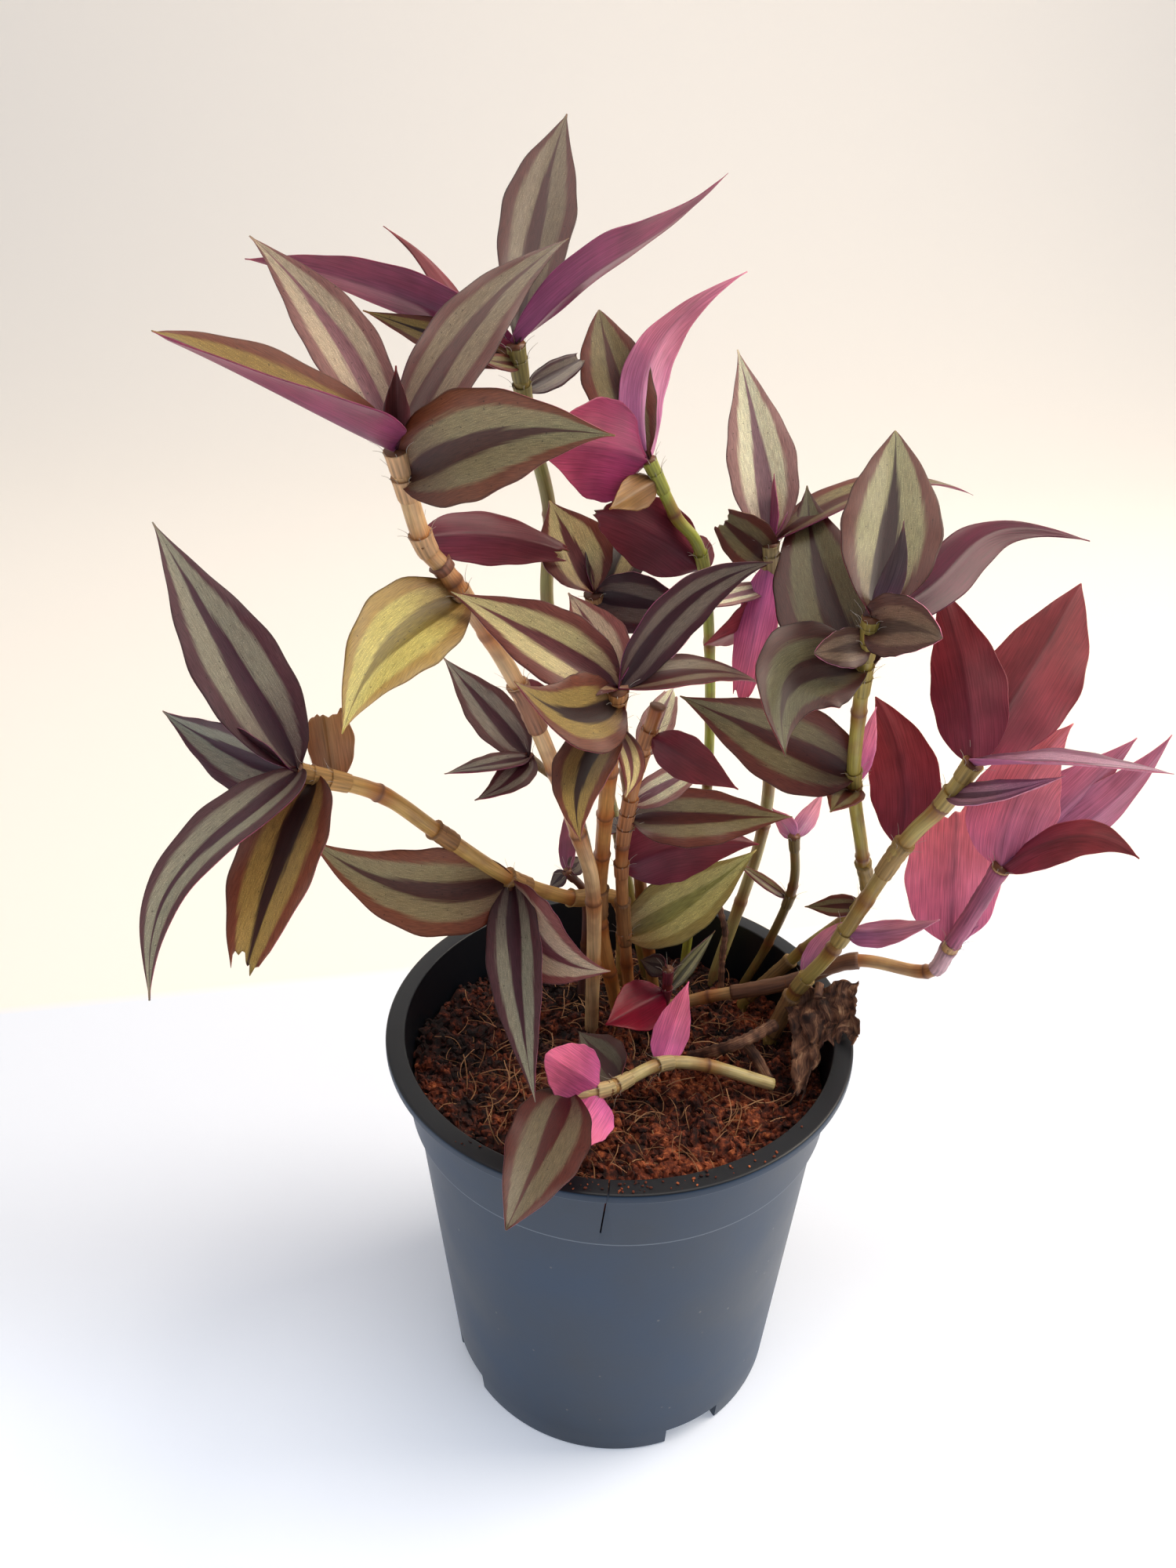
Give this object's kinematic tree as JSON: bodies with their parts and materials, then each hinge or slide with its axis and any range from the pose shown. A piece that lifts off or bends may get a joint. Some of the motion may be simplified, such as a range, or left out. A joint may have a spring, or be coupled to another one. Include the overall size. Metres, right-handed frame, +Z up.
{
  "type": "potted tradescantia",
  "caption": "Trailing houseplant with striped silver and purple pointed leaves on jointed stems, rooted in coir in a round slate-grey nursery pot.",
  "frame": {"origin": "centre of the pot's flat resting face", "axes": "+Z up along the pot's axis, -Y towards the front that the tallest shoots lean to, +X to the right"},
  "size_m": [0.2307, 0.1456, 0.3153],
  "materials": {
    "pot_plastic": "injection-moulded polypropylene, slate grey, satin with light scuffs on the lip",
    "coir": "loose moist coconut coir, red-brown crumbs and pale fibres, matt",
    "striped_shoot": "fresh leaf and stem, silver-green bands on purple-brown, older leaves gold, satin",
    "red_shoot": "fresh leaf and stem, burgundy undersides and olive-brown tops, satin",
    "pink_shoot": "fresh leaf and stem, pink to magenta undersides, satin",
    "dry_tissue": "dried brown stem and crumpled leaf, matt"
  },
  "bodies": {
    "root": {"pot": "pot_plastic", "soil": "coir", "stem_left_arch": "striped_shoot", "stem_upper_left": "striped_shoot", "stem_front": "striped_shoot", "stem_middle": "striped_shoot", "stem_top": "striped_shoot", "stem_pale": "striped_shoot", "stem_low_centre": "striped_shoot", "stem_small_left": "striped_shoot", "stem_top_right": "red_shoot", "stem_right_front": "red_shoot", "stem_right_arch": "red_shoot", "sprout_low": "red_shoot", "stem_small_purple": "red_shoot", "stem_far_right": "pink_shoot", "stem_thin_back": "pink_shoot", "loose_cutting": "pink_shoot", "dead_stem": "dry_tissue", "withered_leaf": "dry_tissue"}
  },
  "joints": []
}
